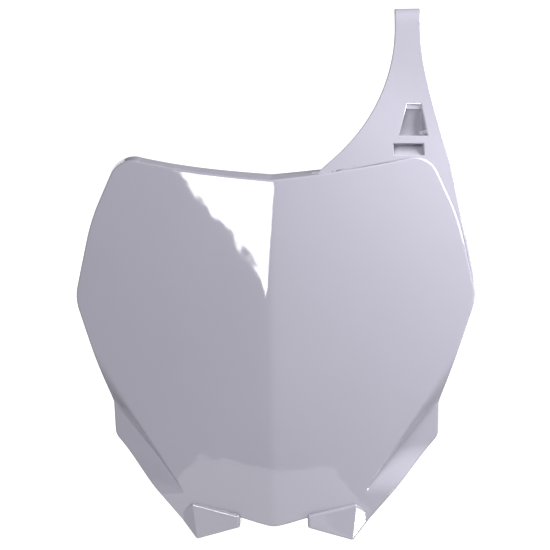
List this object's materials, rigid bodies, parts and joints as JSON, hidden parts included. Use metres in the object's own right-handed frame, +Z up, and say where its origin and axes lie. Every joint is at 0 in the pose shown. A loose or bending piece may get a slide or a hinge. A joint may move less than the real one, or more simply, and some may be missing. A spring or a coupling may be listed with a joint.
{
  "type": "racing number board",
  "caption": "Curved shield-shaped number board with a soft keel, turned-back edge, hooked strap arm, belt keeper, hollow feet and a ribbed bolt tab.",
  "frame": {"origin": "middle of the bolt hole in the rear tab", "axes": "+Z up, from the feet to the strap; the face looks along -Y; +X to the right as the board is read"},
  "size_m": [0.2566, 0.0757, 0.34],
  "materials": {
    "number_board": "glossy injection-moulded polypropylene, pale cool grey"
  },
  "bodies": {
    "root": {"number_board": "number_board"}
  },
  "joints": []
}
